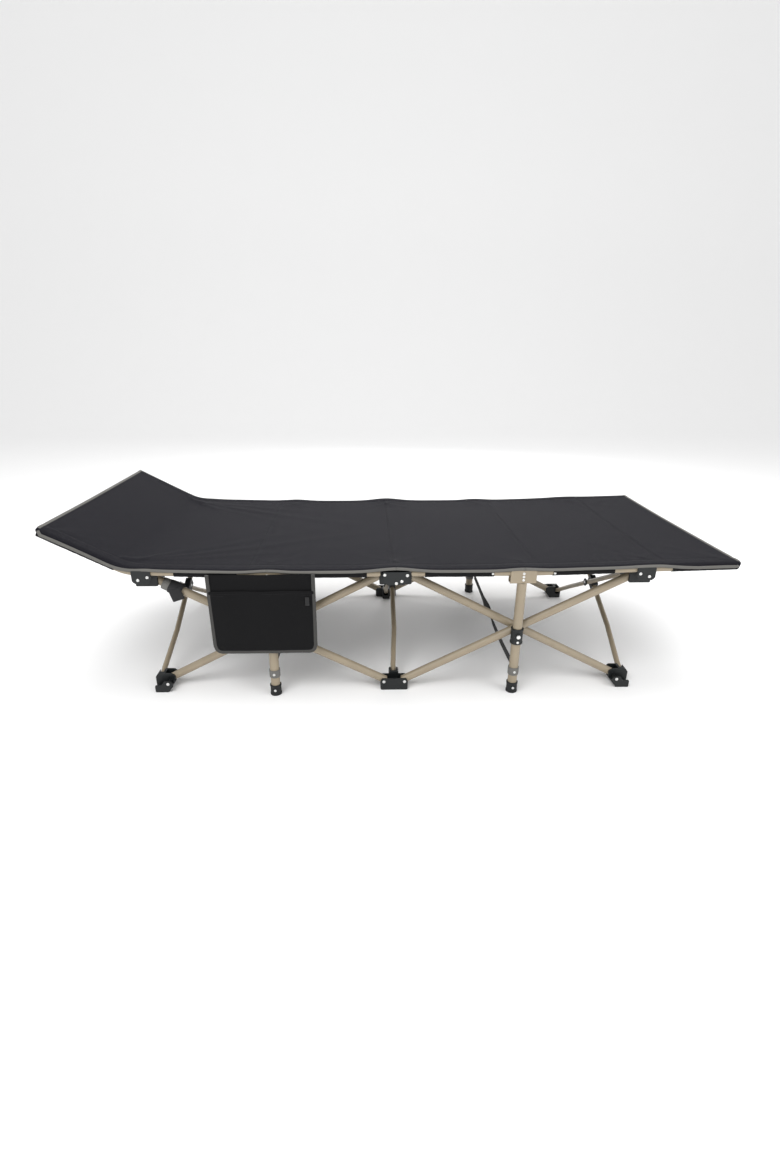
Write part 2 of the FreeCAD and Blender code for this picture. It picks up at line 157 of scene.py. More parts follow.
def paint(name, color, roughness):
    """Satin powder paint on steel: fine orange peel, faint mottling, rubbed patches."""
    n = Nodes(name)
    place = n.coords.outputs["Object"]
    mottle = n.noise(place, 14.0, 4.0)
    rubbed = n.noise(n.scaled(place, (1.0, 1.0, 0.3)), 60.0, 5.0, 0.7)
    base = n.blend(n.spread(mottle, 0.0, 1.0), shade(color, 0.93), shade(color, 1.05))
    base = n.blend(n.spread(rubbed, 0.0, 0.22), base, shade(color, 0.82))
    peel = n.bump(n.noise(place, 900.0, 2.0), 0.25, 0.0004)
    return n.finish(Base_Color=base, Roughness=n.spread(rubbed, roughness - 0.05, roughness + 0.09),
                    Normal=n.bump(mottle, 0.06, 0.002, peel), IOR=1.5, Coat_Weight=0.18,
                    Coat_Roughness=0.3)


def moulded(name, color, roughness, grain=1500.0, depth=0.35):
    """Moulded nylon or rubber: spark-eroded grain, scuffs and a little dust."""
    n = Nodes(name)
    place = n.coords.outputs["Object"]
    scuff = n.noise(n.scaled(place, (1.0, 1.0, 3.0)), 45.0, 6.0, 0.7)
    base = n.blend(n.spread(scuff, 0.0, 1.0), shade(color, 0.85), shade(color, 1.25))
    fine = n.bump(n.noise(place, grain, 2.0), depth, 0.0003)
    return n.finish(Base_Color=base, Roughness=n.spread(scuff, roughness - 0.06, roughness + 0.1),
                    Normal=n.bump(scuff, 0.08, 0.001, fine), IOR=1.53, Specular_IOR_Level=0.35)


def metal(name, color, roughness):
    """Bright zinc-plated steel with fine turning marks."""
    n = Nodes(name)
    place = n.coords.outputs["Object"]
    marks = n.noise(n.scaled(place, (1.0, 12.0, 1.0)), 500.0, 3.0)
    cloud = n.noise(place, 90.0, 3.0)
    base = n.blend(n.spread(cloud, 0.0, 1.0), shade(color, 0.9), shade(color, 1.05))
    return n.finish(Base_Color=base, Metallic=1.0,
                    Roughness=n.spread(marks, roughness - 0.05, roughness + 0.08),
                    Normal=n.bump(marks, 0.12, 0.0002))


def cloth(name, color, pitch, roughness=0.82, sheen=0.25, fade=0.08, depth=0.5):
    """A plain weave on the piece's own UV map, in metres: pitch is the width of two threads."""
    n = Nodes(name)
    place = n.coords.outputs["UV"]
    scale = 1 / (pitch * 2)
    warp, weft = n.waves(place, scale, "X"), n.waves(place, scale, "Y")
    weave = n.math("MAXIMUM", n.math("MULTIPLY", warp, warp), n.math("MULTIPLY", weft, weft))
    slub = n.noise(n.scaled(place, (1.0, 14.0, 1.0)), 120.0, 3.0)
    slub_across = n.noise(n.scaled(place, (14.0, 1.0, 1.0)), 120.0, 3.0)
    cloud = n.noise(place, 5.0, 4.0)
    base = n.blend(n.spread(cloud, 0.0, 1.0), shade(color, 1 - fade), shade(color, 1 + fade))
    base = n.blend(n.spread(n.math("ADD", slub, n.math("SUBTRACT", slub_across, 0.5)), 0.0, 0.35),
                   base, shade(color, 1.25))
    base = n.blend(n.math("MULTIPLY", weave, 0.25), base, shade(color, 0.7))
    threads = n.bump(weave, depth, pitch * 0.4)
    return n.finish(Base_Color=base, Roughness=n.spread(slub, roughness - 0.05, roughness + 0.06),
                    Normal=n.bump(slub, 0.15, 0.0006, threads), Sheen_Weight=sheen,
                    Sheen_Roughness=0.45, IOR=1.45, Specular_IOR_Level=0.18)


def webbing(name, color, pitch=0.0016):
    """Ribbed tape: ribs across its width, on the piece's own UV map in metres."""
    n = Nodes(name)
    place = n.coords.outputs["UV"]
    ribs = n.waves(place, 1 / (pitch * 2), "X")
    lines = n.waves(place, 1 / (pitch * 5), "Y")
    fuzz = n.noise(place, 700.0, 3.0)
    base = n.blend(n.math("MULTIPLY", ribs, 0.45), shade(color, 1.08), shade(color, 0.72))
    base = n.blend(n.spread(fuzz, 0.0, 0.3), base, shade(color, 1.3))
    under = n.bump(ribs, 0.5, pitch * 0.35)
    return n.finish(Base_Color=base, Roughness=n.spread(fuzz, 0.75, 0.9),
                    Normal=n.bump(lines, 0.2, pitch * 0.2, under), Sheen_Weight=0.08,
                    Sheen_Roughness=0.5, IOR=1.45, Specular_IOR_Level=0.25)


PAINT = paint("frame_paint_look", (0.30, 0.247, 0.172), 0.42)
NYLON = moulded("black_nylon_look", (0.0075, 0.0092, 0.0098), 0.45)
RUBBER = moulded("rubber_look", (0.0070, 0.0078, 0.0084), 0.6, 700.0, 0.5)
STEEL = metal("steel_look", (0.72, 0.72, 0.71), 0.28)
DECK = cloth("deck_cloth_look", (0.0068, 0.0064, 0.0100), 0.0011, sheen=0.02)
UNDER = cloth("under_cloth_look", (0.0070, 0.0070, 0.0078), 0.0011, sheen=0.02)
POCKET = cloth("pocket_cloth_look", (0.0050, 0.0050, 0.0056), 0.0010, sheen=0.02)
BINDING = webbing("binding_look", (0.120, 0.117, 0.108))
POCKET_TAPE = webbing("pocket_tape_look", (0.052, 0.051, 0.049))
STRAP = webbing("strap_look", (0.022, 0.022, 0.023), 0.0020)
PALE_STRAP = webbing("pale_strap_look", (0.15, 0.147, 0.138), 0.0020)
THREAD = moulded("thread_look", (0.02, 0.02, 0.022), 0.7, 2500.0)

LOOKS = {"frame_paint": PAINT, "black_plastic": NYLON, "rubber": RUBBER, "steel_button": STEEL}
SLOT_OF = {s["node"]: s["material_slot"] for s in frame["record"]["subparts"]}
for node_name, node in frame["nodes"].items():
    if SLOT_OF[node_name] in LOOKS:
        node.data.materials.clear()
        node.data.materials.append(LOOKS[SLOT_OF[node_name]])
        node.data.polygons.foreach_set("use_smooth", [True] * len(node.data.polygons))

# ---------------------------------------------------------------- mesh building


def make_mesh(name, points, faces, material, uvs=None, normals=None, smooth=True):
    """A mesh object; uvs and normals are per vertex."""
    mesh = bpy.data.meshes.new(name)
    mesh.from_pydata(np.asarray(points).tolist(), [], [list(f) for f in faces])
    if uvs is not None:
        layer = mesh.uv_layers.new(name="UVMap")
        corner = np.zeros(len(mesh.loops), np.int64)
        mesh.loops.foreach_get("vertex_index", corner)
        layer.data.foreach_set("uv", np.asarray(uvs, float)[corner].ravel())
    mesh.polygons.foreach_set("use_smooth", [smooth] * len(mesh.polygons))
    mesh.materials.append(material)
    if normals is not None:
        mesh.normals_split_custom_set_from_vertices(np.asarray(normals, float).tolist())
    piece = bpy.data.objects.new(name, mesh)
    bpy.context.scene.collection.objects.link(piece)
    return piece


def grid_faces(rows, columns, wrap=False, start=0, flip=False):
    row = np.arange(rows - 1)[:, None]
    column = np.arange(columns if wrap else columns - 1)[None]
    following = (column + 1) % columns
    a, b = row * columns + column, row * columns + following
    c, d = (row + 1) * columns + following, (row + 1) * columns + column
    faces = np.stack([a, d, c, b] if flip else [a, b, c, d], -1).reshape(-1, 4)
    return faces + start


def unit(v):
    return v / np.maximum(np.linalg.norm(v, axis=-1, keepdims=True), 1e-12)


def sweep(name, path, ups, outline, material, closed_path=False):
    """An outline (across, up) carried along a path, with ups the direction of its up axis."""
    path, ups, outline = (np.asarray(v, float) for v in (path, ups, outline))
    if closed_path:
        ahead = np.roll(path, -1, 0) - np.roll(path, 1, 0)
    else:
        ahead = np.gradient(path, axis=0)
    ahead = unit(ahead)
    across = unit(np.cross(ahead, ups))
    up = np.cross(across, ahead)
    points = path[:, None] + across[:, None] * outline[None, :, :1] + up[:, None] * outline[None, :, 1:]
    if closed_path:
        points = np.concatenate([points, points[:1]])
        path = np.concatenate([path, path[:1]])
    rows, columns = points.shape[:2]
    faces = grid_faces(rows, columns, wrap=True).tolist()
    if not closed_path:
        last = (rows - 1) * columns
        faces += [list(range(columns))[::-1], list(range(last, last + columns))]
    along = np.concatenate([[0], np.cumsum(np.linalg.norm(np.diff(path, axis=0), axis=1))])
    around = np.concatenate([[0], np.cumsum(np.linalg.norm(np.diff(outline, axis=0), axis=1))])
    uvs = np.stack(np.broadcast_arrays(along[:, None], around[None]), -1).reshape(-1, 2)
    mesh = bpy.data.meshes.new(name)
    mesh.from_pydata(points.reshape(-1, 3).tolist(), [], faces)
    layer = mesh.uv_layers.new(name="UVMap")
    corner = np.zeros(len(mesh.loops), np.int64)
    mesh.loops.foreach_get("vertex_index", corner)
    layer.data.foreach_set("uv", uvs[corner].ravel())
    mesh.polygons.foreach_set("use_smooth", [True] * len(mesh.polygons))
    mesh.materials.append(material)
    piece = bpy.data.objects.new(name, mesh)
    bpy.context.scene.collection.objects.link(piece)
    return piece


def oval(width, height, steps=14, power=0.6):
    """A flattened round outline: a soft-edged strip's cross-section."""
    turn = np.linspace(0, 2 * math.pi, steps, endpoint=False)
    c, s = np.cos(turn), np.sin(turn)
    return np.stack([width / 2 * np.sign(c) * abs(c) ** power,
                     height / 2 * np.sign(s) * abs(s) ** power], -1)


# ---------------------------------------------------------------- deck fabric

EDGE = DECK_HIGH.y + 0.0005                  # half width of the sewn deck
FLAT_EDGE = EDGE - 0.0165                    # where the edge starts to turn down
EDGE_TURN, EDGE_TILT = 0.020, math.radians(40)
ARC_ACROSS = EDGE_TURN * EDGE_TILT
TAIL = (EDGE - FLAT_EDGE - EDGE_TURN * math.sin(EDGE_TILT)) / math.cos(EDGE_TILT)
HALF_ACROSS = FLAT_EDGE + ARC_ACROSS + TAIL
TOP_OVER_RAIL = 0.0135
BEND_R = 0.15
BEND_TURN = HEAD_SLOPE - END_TILT
BEND_SETBACK = BEND_R * math.tan(BEND_TURN / 2)
HEAD_LENGTH = (HEAD_BEND - DECK_LOW.x) / math.cos(HEAD_SLOPE)
S_BEND = HEAD_BEND + BEND_SETBACK                       # start of the bend, along the deck
S_PANEL = S_BEND - BEND_R * BEND_TURN                   # end of the bend
S_HEAD = S_PANEL - (HEAD_LENGTH - BEND_SETBACK)
S_FOOT = DECK_HIGH.x - 0.001
SLEEVE_IN = EDGE - 0.043                                # stitch line of the rail sleeves
SEAMS = (-0.405, -0.010, 0.396, 0.750)
BINDING_WIDTH, BINDING_THICKNESS = 0.0088, 0.0034
CLOTH = 0.0012


def deck_path(s):
    """Point (x, z) and upward normal of the rails' line at distance s along the deck."""
    s = np.asarray(s, float)
    turn = np.clip((S_BEND - s) / BEND_R, 0, BEND_TURN)
    past = np.maximum(S_PANEL - s, 0)
    bend_rise = BEND_R * (math.cos(END_TILT) - np.cos(turn + END_TILT))
    bend_run = BEND_R * (np.sin(turn + END_TILT) - math.sin(END_TILT))
    x = np.where(s > S_BEND, s, S_BEND) - bend_run - past * math.cos(HEAD_SLOPE)
    outside = np.maximum(np.minimum(-s, -S_BEND) - KNEE, 0) + np.maximum(s - KNEE, 0)
    z = RAIL_Z + outside * math.tan(END_TILT) + bend_rise + past * math.sin(HEAD_SLOPE)
    lean = np.where(s < -KNEE, END_TILT, 0) - np.where(s > KNEE, END_TILT, 0)
    return x, z, np.sin(turn + lean), np.cos(turn + lean)


def lump(v, centre, width):
    return np.exp(-((v - centre) / width) ** 2)


def wrinkle(s, y, start, heading, length, width, height):
    """One soft fold that starts at a point and dies away along a heading, in degrees."""
    a = math.radians(heading)
    along = (s - start[0]) * math.cos(a) + (y - start[1]) * math.sin(a)
    off = -(s - start[0]) * math.sin(a) + (y - start[1]) * math.cos(a)
    spread = width * (1 + np.clip(along, 0, None) / length)
    rise = 1 / (1 + np.exp(-along / 0.02))
    return height * rise * np.exp(-np.clip(along, 0, None) / length) * np.exp(-(off / spread) ** 2)


def deck_height(s, y):
    """How far the cloth stands above its plain surface."""
    edge = np.clip((abs(y) - 0.26) / 0.13, 0, 1) ** 2
    out = 0.0055 * edge * (lump(s, -LEG_X, 0.055) + lump(s, LEG_X, 0.055))
    out = out + 0.0095 * edge * lump(s, 0.0, 0.07)
    out = out + 0.0030 * edge * (lump(s, HUB_X, 0.07) + lump(s, -HUB_X, 0.05))
    out = out - 0.0045 * (1 - (y / 0.38) ** 2) * (0.7 + 0.3 * np.cos(s * 9))
    for seam in SEAMS:
        inside = 1 / (1 + np.exp((abs(y) - SLEEVE_IN) / 0.004))
        out = out - 0.0012 * lump(s, seam, 0.0035) * inside
        out = out + 0.0005 * lump(s, seam + 0.011, 0.007) * inside
    out = out - 0.0010 * lump(abs(y), SLEEVE_IN, 0.003)
    out = out + 0.0006 * lump(abs(y), SLEEVE_IN + 0.014, 0.011)
    pucker = lump(abs(y), SLEEVE_IN - 0.012, 0.020)
    out = out + 0.0005 * pucker * np.sin(s * 150 + 2.2 * np.sin(s * 31)) * (0.5 + 0.5 * np.sin(s * 13))
    for side in (-1, 1):
        for k, (heading, length, height) in enumerate(((34, 0.26, 2.6), (24, 0.30, 3.4), (14, 0.26, 2.6),
                                                        (48, 0.18, 2.2), (66, 0.12, 1.6))):
            start = (HEAD_BEND + 0.010 * k - 0.02, side * 0.335)
            out = out + wrinkle(s, y, start, -side * heading, length, 0.009, height / 1000)
        for centre, height in ((-LEG_X, 0.9), (0.0, 1.3), (LEG_X, 0.9), (HUB_X, 1.1)):
            for heading in (35, 62, 118, 145):
                out = out + wrinkle(s, y, (centre, side * 0.33), -side * heading, 0.10, 0.008,
                                    height / 1000)
        for heading in (152, 130):
            out = out + wrinkle(s, y, (S_FOOT - 0.03, side * 0.36), -side * heading, 0.16, 0.010, 0.0012)
        for heading in (28, 50):
            out = out + wrinkle(s, y, (S_HEAD + 0.03, side * 0.36), -side * heading, 0.14, 0.010, 0.0012)
    slow = np.sin(s * 7.1 + y * 4.3) * np.sin(y * 9.7 - s * 2.1)
    return out + 0.0006 * slow


def corner_pull(s):
    """The deck's half width, narrowed over its clipped corners, as a share of the full one."""
    head = np.clip((S_HEAD + 0.016 - s) / 0.016, 0, 1)
    foot = np.clip((s - (S_FOOT - 0.010)) / 0.010, 0, 1)
    waist = 0.0022 * (np.cos((s - LEG_X) * 2 * math.pi / LEG_X) - 1) / 2
    return 1 - (0.006 * head ** 1.2 + 0.006 * foot ** 2) / HALF_ACROSS + waist


def deck_point(s, v, drop=0.0):
    """A point of the deck, s along it and v across it over the turned-down edge."""
    s, v = np.broadcast_arrays(np.asarray(s, float), np.asarray(v, float))
    across = abs(v) * corner_pull(s)
    turn = np.clip((across - FLAT_EDGE) / EDGE_TURN, 0, EDGE_TILT)
    tail = np.maximum(across - FLAT_EDGE - ARC_ACROSS, 0)
    y = np.minimum(across, FLAT_EDGE) + EDGE_TURN * np.sin(turn) + tail * math.cos(EDGE_TILT)
    down = EDGE_TURN * (1 - np.cos(turn)) + tail * math.sin(EDGE_TILT)
    y = y * np.sign(v)
    x, z, nx, nz = deck_path(s)
    ends = np.clip((S_BEND + 0.02 - s) / 0.10, 0, 1) + np.clip((s - HUB_X - 0.03) / 0.10, 0, 1)
    down = down + 0.010 * ends * np.clip((abs(y) - LEG_Y - 0.0070) / 0.0045, 0, 1)
    lift = TOP_OVER_RAIL + deck_height(s, y) - down - drop
    return np.stack([x + nx * lift, y, z + nz * lift], -1)


def deck_normal(s, v):
    step = 0.0008
    ds = deck_point(s + step, v) - deck_point(s - step, v)
    dv = deck_point(s, v + step) - deck_point(s, v - step)
    return unit(np.cross(ds, dv))


def station(lo, hi, step):
    return np.linspace(lo, hi, max(2, int(round((hi - lo) / step)) + 1))


DECK_BREAKS = {"head_end": (S_HEAD, -LEG_X), "head_inner": (-LEG_X, 0.0),
               "foot_inner": (0.0, LEG_X), "foot_end": (LEG_X, S_FOOT)}
RAIL_OF = {"head_end": "head_end_rail", "head_inner": "head_inner_rail",
           "foot_inner": "foot_inner_rail", "foot_end": "foot_end_rail"}


def gather_in(piece):
    """Gives the piece its own copy of its mesh."""
    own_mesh(piece)


def deck_panel(side, part):
    """A quarter-length, half-width part of the one deck sheet, with its upper and under faces."""
    sign = SIDES[side]
    step = 0.006
    s = station(*DECK_BREAKS[part], step)
    v = np.concatenate([station(0.0, FLAT_EDGE, step)[:-1], station(FLAT_EDGE, HALF_ACROSS, 0.002)]) * sign
    grid_s, grid_v = np.meshgrid(s, v, indexing="ij")
    normal = deck_normal(grid_s, grid_v)
    if normal[0, 0, 2] < 0:
        normal = -normal
    top = deck_point(grid_s, grid_v)
    under = top - normal * CLOTH
    uv = np.stack([grid_s, grid_v], -1).reshape(-1, 2)
    rows, columns = grid_s.shape
    faces = np.concatenate([grid_faces(rows, columns, flip=sign > 0),
                            grid_faces(rows, columns, start=rows * columns, flip=sign < 0)])
    points = np.concatenate([top.reshape(-1, 3), under.reshape(-1, 3)])
    normals = np.concatenate([normal.reshape(-1, 3), -normal.reshape(-1, 3)])
    piece = make_mesh(f"deck_{side}_{part}", points, faces, DECK, np.concatenate([uv, uv]), normals)
    piece.data.materials.append(UNDER)
    half = len(piece.data.polygons) // 2
    piece.data.polygons.foreach_set("material_index", [0] * half + [1] * half)
    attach(piece, f"{side}_{RAIL_OF[part]}")
    gather_in(piece)
    return piece


def edge_binding(side, part):
    """The pale tape folded round the deck's edge, with its share of the head or foot end."""
    sign = SIDES[side]
    lo, hi = DECK_BREAKS[part]
    s = station(lo, hi, 0.008)
    v = np.full(len(s), HALF_ACROSS - BINDING_WIDTH * 0.36)
    corner = HALF_ACROSS - BINDING_WIDTH * 0.36
    if part == "head_end":
        end_v = station(0.0, corner, 0.010)[:-1]
        s = np.concatenate([np.full(len(end_v), S_HEAD + BINDING_WIDTH * 0.36), s[1:]])
        v = np.concatenate([end_v, v[1:]])
    if part == "foot_end":
        end_v = station(0.0, corner, 0.010)[:-1][::-1]
        s = np.concatenate([s[:-1], np.full(len(end_v), S_FOOT - BINDING_WIDTH * 0.36)])
        v = np.concatenate([v[:-1], end_v])
    path = deck_point(s, v * sign, drop=CLOTH / 2)
    normal = deck_normal(s, v * sign)
    normal = np.where(normal[:, 2:] < 0, -normal, normal)
    piece = sweep(f"binding_{side}_{part}", path, normal, oval(BINDING_WIDTH, BINDING_THICKNESS), BINDING)
    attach(piece, f"{side}_{RAIL_OF[part]}")
    gather_in(piece)
    return piece


BARE_AT_LEG, BARE_AT_HUB = 0.082, 0.080
SLEEVE_INSET = 0.005             # sleeve ends from the head and foot ends
SLEEVE_CLOTH = 0.0009
SLEEVES = {"head_end": ((S_HEAD + SLEEVE_INSET, -HUB_X - 0.060), (-HUB_X + 0.100, -LEG_X - BARE_AT_LEG)),
           "head_inner": ((-LEG_X + BARE_AT_LEG, -BARE_AT_HUB),),
           "foot_inner": ((BARE_AT_HUB, LEG_X - BARE_AT_LEG),),
           "foot_end": ((LEG_X + BARE_AT_LEG, HUB_X - 0.100), (HUB_X + 0.060, S_FOOT - SLEEVE_INSET))}


def sleeve(side, part, index, span):
    """The sleeve under the deck's edge that the rail runs through."""
    sign = SIDES[side]
    hang = RAIL_R + 0.0012
    outline = [(SLEEVE_IN, TOP_OVER_RAIL - 0.0025), (SLEEVE_IN + 0.007, 0.006)]
    for degrees in (200, 225, 250, 270, 290, 320, 350):
        a = math.radians(degrees)
        outline.append((LEG_Y + hang * math.cos(a), hang * math.sin(a)))
    outline.append((EDGE - 0.0040, TOP_OVER_RAIL - 0.0095))
    outline = np.array(outline)
    inner = outline + np.array([0.0, SLEEVE_CLOTH])
    inner[2:-1] = (inner[2:-1] - [LEG_Y, SLEEVE_CLOTH]) * 0.93 + [LEG_Y, 0.0]
    ring = np.concatenate([outline, inner[::-1]])
    s = station(*span, 0.010)
    x, z, nx, nz = deck_path(s)
    points = np.stack([x[:, None] + nx[:, None] * ring[None, :, 1],
                       np.broadcast_to(sign * ring[None, :, 0], (len(s), len(ring))),
                       z[:, None] + nz[:, None] * ring[None, :, 1]], -1)
    rows, columns = points.shape[:2]
    ripple = 0.0007 * np.sin(s * 95 + 3 * np.sin(s * 23))[:, None]
    points[:, 2:9, 2] -= abs(ripple)
    faces = grid_faces(rows, columns, wrap=True, flip=sign < 0).tolist()
    end_row = {S_HEAD + SLEEVE_INSET: 0, S_FOOT - SLEEVE_INSET: rows - 1}
    for end, row in end_row.items():
        if end in span:
            faces.append([row * columns + k for k in range(len(outline))])
    around = np.cumsum(np.linalg.norm(np.diff(ring, axis=0, prepend=ring[:1]), axis=1))
    uvs = np.stack(np.broadcast_arrays(s[:, None], around[None]), -1).reshape(-1, 2)
    piece = make_mesh(f"rail_sleeve_{side}_{part}_{index}", points.reshape(-1, 3), faces, UNDER, uvs)
    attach(piece, f"{side}_{RAIL_OF[part]}")
    gather_in(piece)
    return piece


def stitches(name, starts, ends, width, material):
    """Rows of short raised threads, one between each pair of points."""
    starts, ends = np.asarray(starts, float), np.asarray(ends, float)
    ahead = unit(ends - starts)
    up = np.broadcast_to(np.array([0.0, 0.0, 1.0]), ahead.shape)
    across = unit(np.cross(ahead, up))
    up = np.cross(across, ahead)
    mid = (starts + ends) / 2
    rings = []
    for centre, size in ((starts, 0.35), (mid, 1.0), (ends, 0.35)):
        for a, b in ((1, 0), (0, 1), (-1, 0), (0, -0.6)):
            rings.append(centre + across * width * size * a / 2 + up * width * size * b / 2)
    points = np.stack(rings, 1).reshape(-1, 3)
    count = len(starts)
    one = np.concatenate([grid_faces(3, 4, wrap=True)])
    faces = (one[None] + np.arange(count)[:, None, None] * 12).reshape(-1, 4)
    return make_mesh(name, points, faces, material, np.zeros((len(points), 2)))


NEEDLE_GAP = 0.0026               # from a seam to each of its two needle lines
NEAR_MIDDLE = 0.01               # the middle seam is shared by two panels, one line each


def seam_stitching(side, part):
    """Twin needle lines along the seams across the deck and one along the sleeve."""
    sign = SIDES[side]
    lo, hi = DECK_BREAKS[part]
    pitch, dash = 0.0045, 0.0030
    s_from, v_from, s_to, v_to = [], [], [], []
    rows = [(seam, NEEDLE_GAP) for seam in SEAMS if lo <= seam <= hi and abs(seam) > NEAR_MIDDLE]
    if part in ("head_inner", "foot_inner"):
        rows.append((0.0, NEEDLE_GAP if part == "foot_inner" else -NEEDLE_GAP))
    for seam, gap in rows:
        v = np.arange(0.004, HALF_ACROSS - BINDING_WIDTH - dash, pitch)
        lines = (gap,) if abs(seam) < NEAR_MIDDLE else (-gap, gap)
        for offset in lines:
            s_from.append(np.full(len(v), seam + offset))
            s_to.append(np.full(len(v), seam + offset))
            v_from.append(v)
            v_to.append(v + dash)
    s = np.arange(lo + 0.012 if lo < -0.9 else lo, (hi - 0.012 if hi > 0.9 else hi) - dash, pitch)
    for v_line in (SLEEVE_IN - 0.0012, SLEEVE_IN + 0.0030, HALF_ACROSS - BINDING_WIDTH * 0.75):
        s_from.append(s)
        s_to.append(s + dash)
        v_from.append(np.full(len(s), v_line))
        v_to.append(np.full(len(s), v_line))
    s_from, v_from, s_to, v_to = (np.concatenate(a) for a in (s_from, v_from, s_to, v_to))
    lift = -0.00015
    piece = stitches(f"stitching_{side}_{part}", deck_point(s_from, v_from * sign, drop=lift),
                     deck_point(s_to, v_to * sign, drop=lift), 0.0008, THREAD)
    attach(piece, f"{side}_{RAIL_OF[part]}")
    gather_in(piece)
    return piece


for side in SIDES:
    for part in DECK_BREAKS:
        deck_panel(side, part)
        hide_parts("deck_fabric")
        edge_binding(side, part)
        seam_stitching(side, part)
        for index, span in enumerate(SLEEVES[part]):
            sleeve(side, part, index, span)

# ---------------------------------------------------------------- side pocket

POCKET_LOW, POCKET_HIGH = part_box("side_pocket")
POCKET_BACK = POCKET_HIGH.y
FLAP_Z = RAIL_Z - 0.040                       # top edge of the front panel


def pocket_sheet(name, top_z, offset, bulge, material):
    """One panel of the pocket: rounded lower corners, a soft bulge and hanging folds."""
    half = (POCKET_HIGH.x - POCKET_LOW.x) / 2
    centre = (POCKET_HIGH.x + POCKET_LOW.x) / 2
    low = POCKET_LOW.z
    radius = 0.020
    x = station(-half, half, 0.004)
    t = station(0.0, 1.0, 0.016)
    grid_x, grid_t = np.meshgrid(x, t, indexing="ij")
    corner = np.maximum(abs(grid_x) - (half - radius), 0)
    bottom = low + radius - np.sqrt(np.maximum(radius ** 2 - corner ** 2, 0))
    z = bottom + (top_z - bottom) * grid_t
    depth = (z - low) / (top_z - low)
    side = grid_x / half
    belly = np.clip(1 - side ** 4, 0, 1) * np.sin(np.clip(depth, 0, 1) * math.pi) ** 0.6
    folds = 0.0012 * np.sin(grid_x * 42 + 1.3 * depth) * (0.3 + depth)
    folds += 0.0010 * lump(grid_x, -0.05 + 0.05 * depth, 0.02) - 0.0009 * lump(grid_x, 0.07, 0.03)
    lean = 0.004 * (1 - depth)
    y = POCKET_BACK - offset - bulge * belly - folds * np.clip(1 - side ** 8, 0, 1) + lean
    points = np.stack([centre + grid_x * (1 - 0.006 * (1 - depth)), y, z], -1)
    back = points + np.array([0, CLOTH, 0])
    rows, columns = grid_x.shape
    faces = np.concatenate([grid_faces(rows, columns, flip=True),
                            grid_faces(rows, columns, start=rows * columns)])
    uv = np.stack([grid_x, z], -1).reshape(-1, 2)
    piece = make_mesh(name, np.concatenate([points.reshape(-1, 3), back.reshape(-1, 3)]), faces,
                      material, np.concatenate([uv, uv]))
    return piece, points


def pocket_edge(points):
    """The panel's outline: down one side, along the bottom and up the other."""
    return np.concatenate([points[0, ::-1], points[1:-1, 0], points[-1]])


back_panel, back_points = pocket_sheet("pocket_back", RAIL_Z + 0.008, 0.001, 0.0, POCKET)
front_panel, front_points = pocket_sheet("pocket_front", FLAP_Z, 0.0035, 0.0055, POCKET)
outline = pocket_edge(back_points) + np.array([0, -0.0015, 0])
tape = sweep("pocket_binding", outline, np.broadcast_to([0.0, -1.0, 0.0], outline.shape),
             oval(0.0105, 0.0052), POCKET_TAPE)
hem = sweep("pocket_hem", front_points[:, -1] + np.array([0, 0.0004, -0.004]),
            np.broadcast_to([0.0, -1.0, 0.0], front_points[:, -1].shape), oval(0.0100, 0.0026), POCKET)
tag_x = POCKET_HIGH.x - 0.018
tag_path = np.array([(tag_x, POCKET_BACK - 0.0095, FLAP_Z - 0.016 - 0.024 * k) for k in np.linspace(0, 1, 6)])
tag = sweep("pocket_tag", tag_path, np.broadcast_to([0.0, -1.0, 0.0], tag_path.shape),
            oval(0.011, 0.0012), STRAP)
HEM_ROW, HEM_HALF = 0.138, 0.147  # half lengths of the stitched rows and of the hem
row_x = station(-HEM_ROW, HEM_ROW, 0.0045)
hem_x = (POCKET_HIGH.x + POCKET_LOW.x) / 2 + row_x
hem_last = len(front_points) - 1
hem_index = np.clip(((row_x + HEM_HALF) / (2 * HEM_HALF) * hem_last).astype(int), 0, hem_last)
hem_y = front_points[hem_index, -1, 1] - 0.0012
threads = []
for row, drop in enumerate((0.0075, 0.0125)):
    start = np.stack([hem_x[:-1], hem_y[:-1], np.full(len(hem_x) - 1, FLAP_Z - drop)], -1)
    threads.append(stitches(f"pocket_stitching_{row}", start, start + [0.003, 0, 0], 0.0009, THREAD))
pocket_pieces = [back_panel, front_panel, tape, hem, tag] + threads
for piece in pocket_pieces:
    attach(piece, "front_head_leg")
    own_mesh(piece)
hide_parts("side_pocket")

# ---------------------------------------------------------------- straps

STRAP_Z = 0.072
STRAP_WIDTH, STRAP_THICKNESS = 0.025, 0.0016


def tie_strap(end, sidestep, twist_at):
    """Webbing from leg to leg with one slow twist, in two halves that meet in the middle."""
    x = ENDS[end] * LEG_X + sidestep
    pieces = []
    for side, sign in SIDES.items():
        y = station(0.0, LEG_Y - LEG_R * 0.6, 0.008) * sign
        twist = math.pi / (1 + np.exp(-(y - twist_at) / 0.030))
        sag = -0.014 * (1 - (y / LEG_Y) ** 2)
        path = np.stack([x + 0.006 * np.sin(y * 5.0), y, STRAP_Z + sag], -1)
        ups = np.stack([np.cos(twist), np.zeros_like(y), np.sin(twist)], -1)
        piece = sweep(f"tie_strap_{side}_{end}", path, ups, oval(STRAP_WIDTH, STRAP_THICKNESS), STRAP)
        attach(piece, f"{side}_{end}_leg")
        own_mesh(piece)
        pieces.append(piece)
    return pieces


straps = tie_strap("head", 0.0, 0.10) + tie_strap("foot", LEG_R - 0.0005, 0.07)
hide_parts("webbing_straps")

